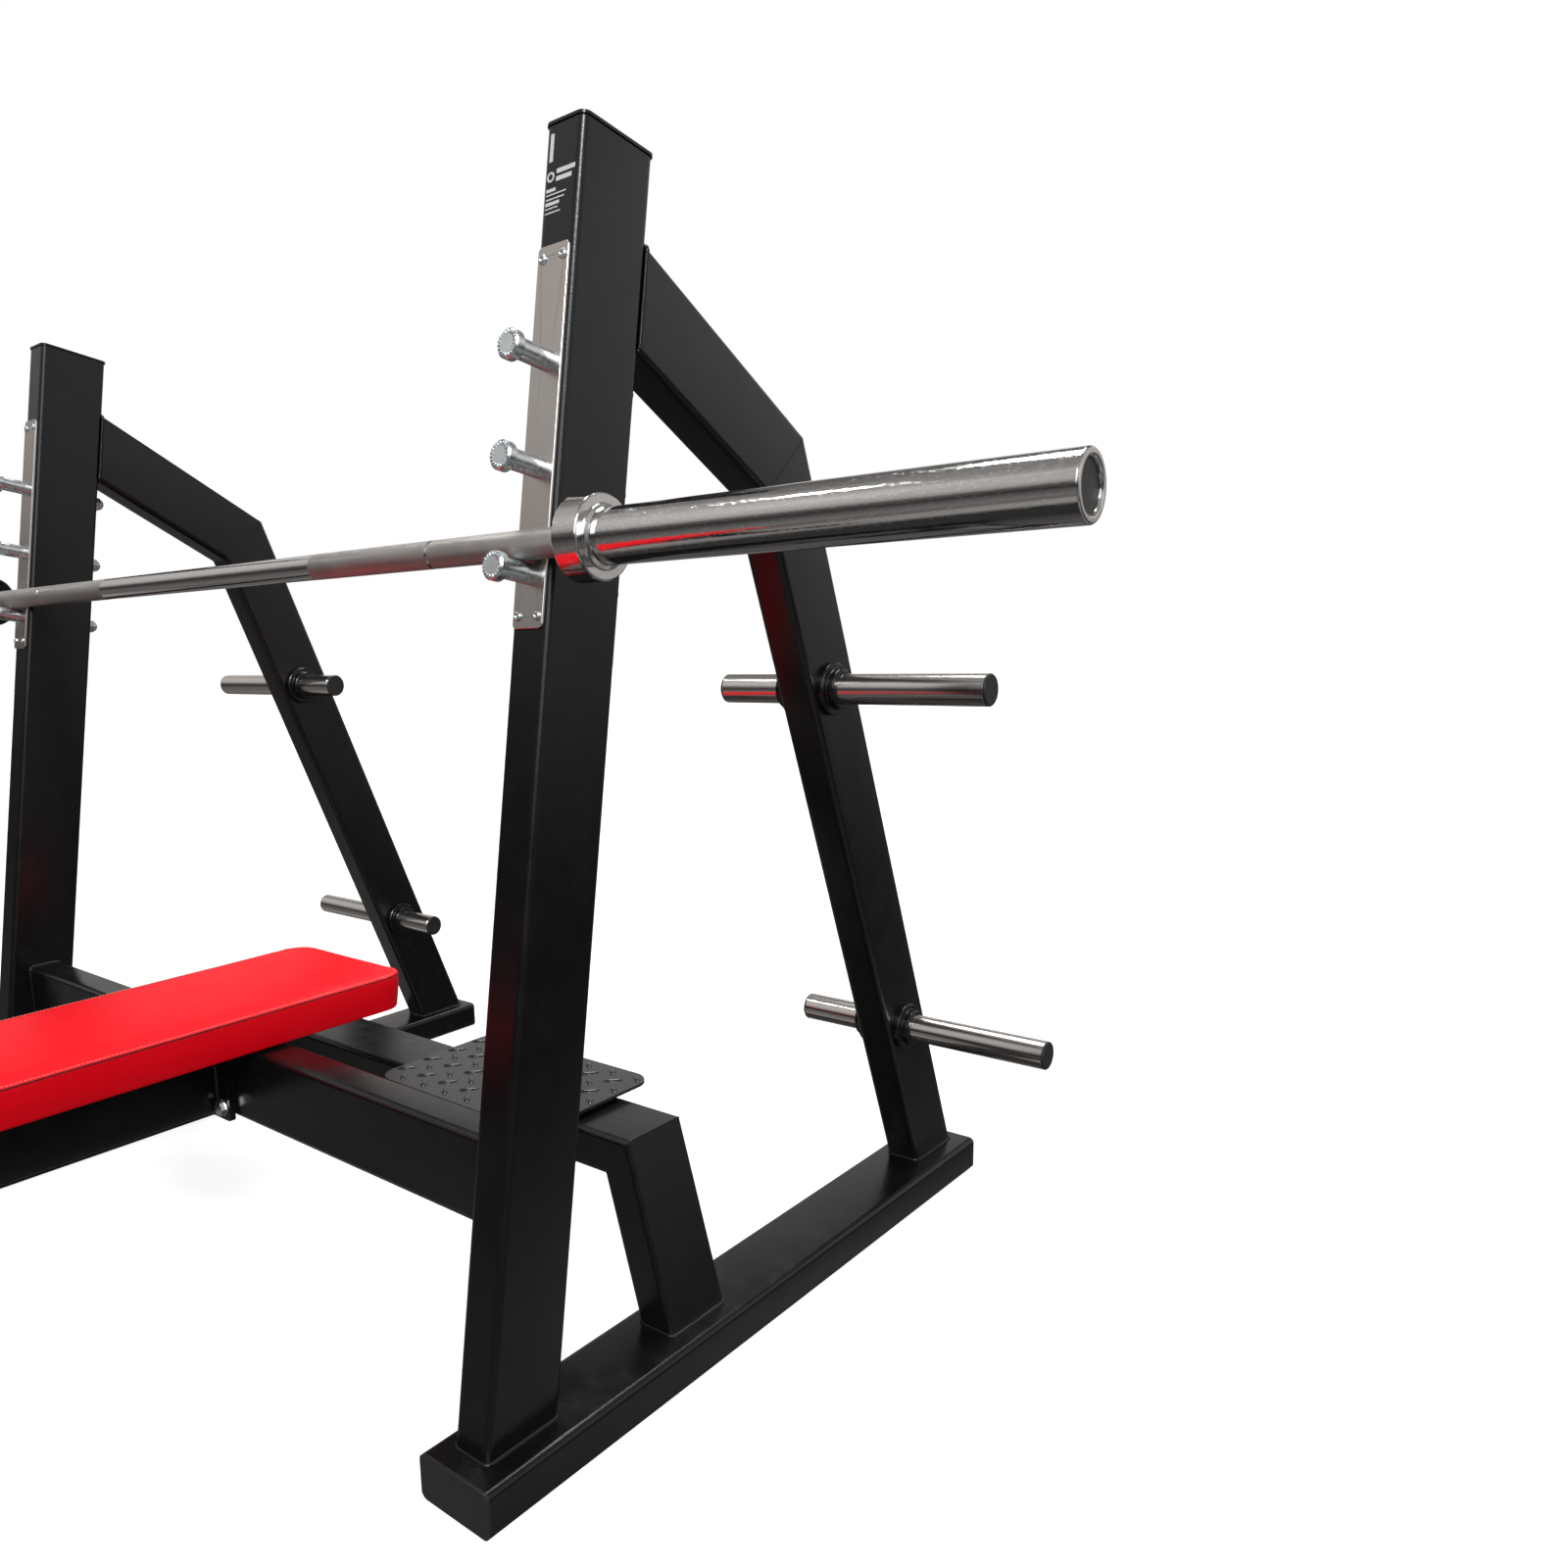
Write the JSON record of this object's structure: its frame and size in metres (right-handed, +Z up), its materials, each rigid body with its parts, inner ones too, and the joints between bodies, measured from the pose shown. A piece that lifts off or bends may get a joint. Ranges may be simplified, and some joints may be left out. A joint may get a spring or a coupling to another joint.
{
  "type": "olympic bench press",
  "caption": "Flat bench with a raked two-post bar rack, catch pins, storage pegs, spotter plates and a barbell with spinning sleeves.",
  "frame": {"origin": "on the floor, at the middle of the bounding box's underside", "axes": "+X along the bar, to the right of someone who stands at the foot end and faces the rack; +Y from the foot end of the bench to the rack; +Z up"},
  "size_m": [2.22, 1.842, 1.3203],
  "materials": {
    "black_powder_coat": "semi-gloss black powder coat with a fine orange peel",
    "black_checker_plate": "black powder coat over raised checker plate",
    "black_plastic": "moulded black plastic",
    "stainless": "brushed stainless steel",
    "zinc": "bright zinc plating",
    "chrome": "hard chrome, diamond knurl on the shaft",
    "spring_steel": "oiled spring steel",
    "bronze": "sintered bronze",
    "plywood": "unfinished plywood",
    "red_vinyl": "smooth red vinyl over foam, stitched seam"
  },
  "bodies": {
    "frame": {"base_rail_left": "black_powder_coat", "base_rail_right": "black_powder_coat", "rail_end_caps": "black_plastic", "upright_left": "black_powder_coat", "upright_right": "black_powder_coat", "upright_top_caps": "black_powder_coat", "brace_arm_left": "black_powder_coat", "brace_arm_right": "black_powder_coat", "brace_leg_left": "black_powder_coat", "brace_leg_right": "black_powder_coat", "front_beam": "black_powder_coat", "rear_bridge": "black_powder_coat", "bridge_leg_left": "black_powder_coat", "bridge_leg_right": "black_powder_coat", "wear_plate_left": "stainless", "wear_plate_right": "stainless", "wear_plate_screws": "zinc", "catch_pins_left": "zinc", "catch_pins_right": "zinc", "catch_washers": "zinc", "catch_dome_nuts": "zinc", "storage_peg_upper_left": "stainless", "storage_peg_upper_right": "stainless", "storage_peg_lower_left": "stainless", "storage_peg_lower_right": "stainless", "peg_flanges": "black_powder_coat", "peg_end_caps": "black_plastic", "spotter_spacers": "black_powder_coat", "spotter_plate_left": "black_checker_plate", "spotter_plate_right": "black_checker_plate", "bench_tube": "black_powder_coat", "bench_tube_cap": "black_plastic", "bench_flange": "black_powder_coat", "flange_bolts": "zinc", "flange_washers": "zinc", "flange_nuts": "zinc", "bench_front_leg": "black_powder_coat", "bench_foot": "black_powder_coat", "bench_foot_caps": "black_plastic", "pad_brackets": "black_powder_coat", "pad_head_bracket": "black_powder_coat", "pad_bolts": "zinc", "pad_board": "plywood", "pad_cushion": "red_vinyl"},
    "bar": {"bar_shaft": "chrome", "shaft_retaining_rings": "spring_steel", "shaft_thrust_washers": "spring_steel"},
    "sleeve_left": {"sleeve_left": "chrome", "sleeve_bushes_left": "bronze", "sleeve_cap_left": "black_plastic"},
    "sleeve_right": {"sleeve_right": "chrome", "sleeve_bushes_right": "bronze", "sleeve_cap_right": "black_plastic"}
  },
  "joints": [
    {"name": "bar_lift", "type": "slide", "parent": "frame", "child": "bar", "axis": [0, -0.7071, 0.7071], "range_m": [0, 0.3]},
    {"name": "sleeve_spin_left", "type": "hinge", "parent": "bar", "child": "sleeve_left", "pos_m": [-0.8825, 0.05382, 0.92843], "axis": [1, 0, 0], "continuous": true},
    {"name": "sleeve_spin_right", "type": "hinge", "parent": "bar", "child": "sleeve_right", "pos_m": [0.8825, 0.05382, 0.92843], "axis": [1, 0, 0], "continuous": true}
  ]
}
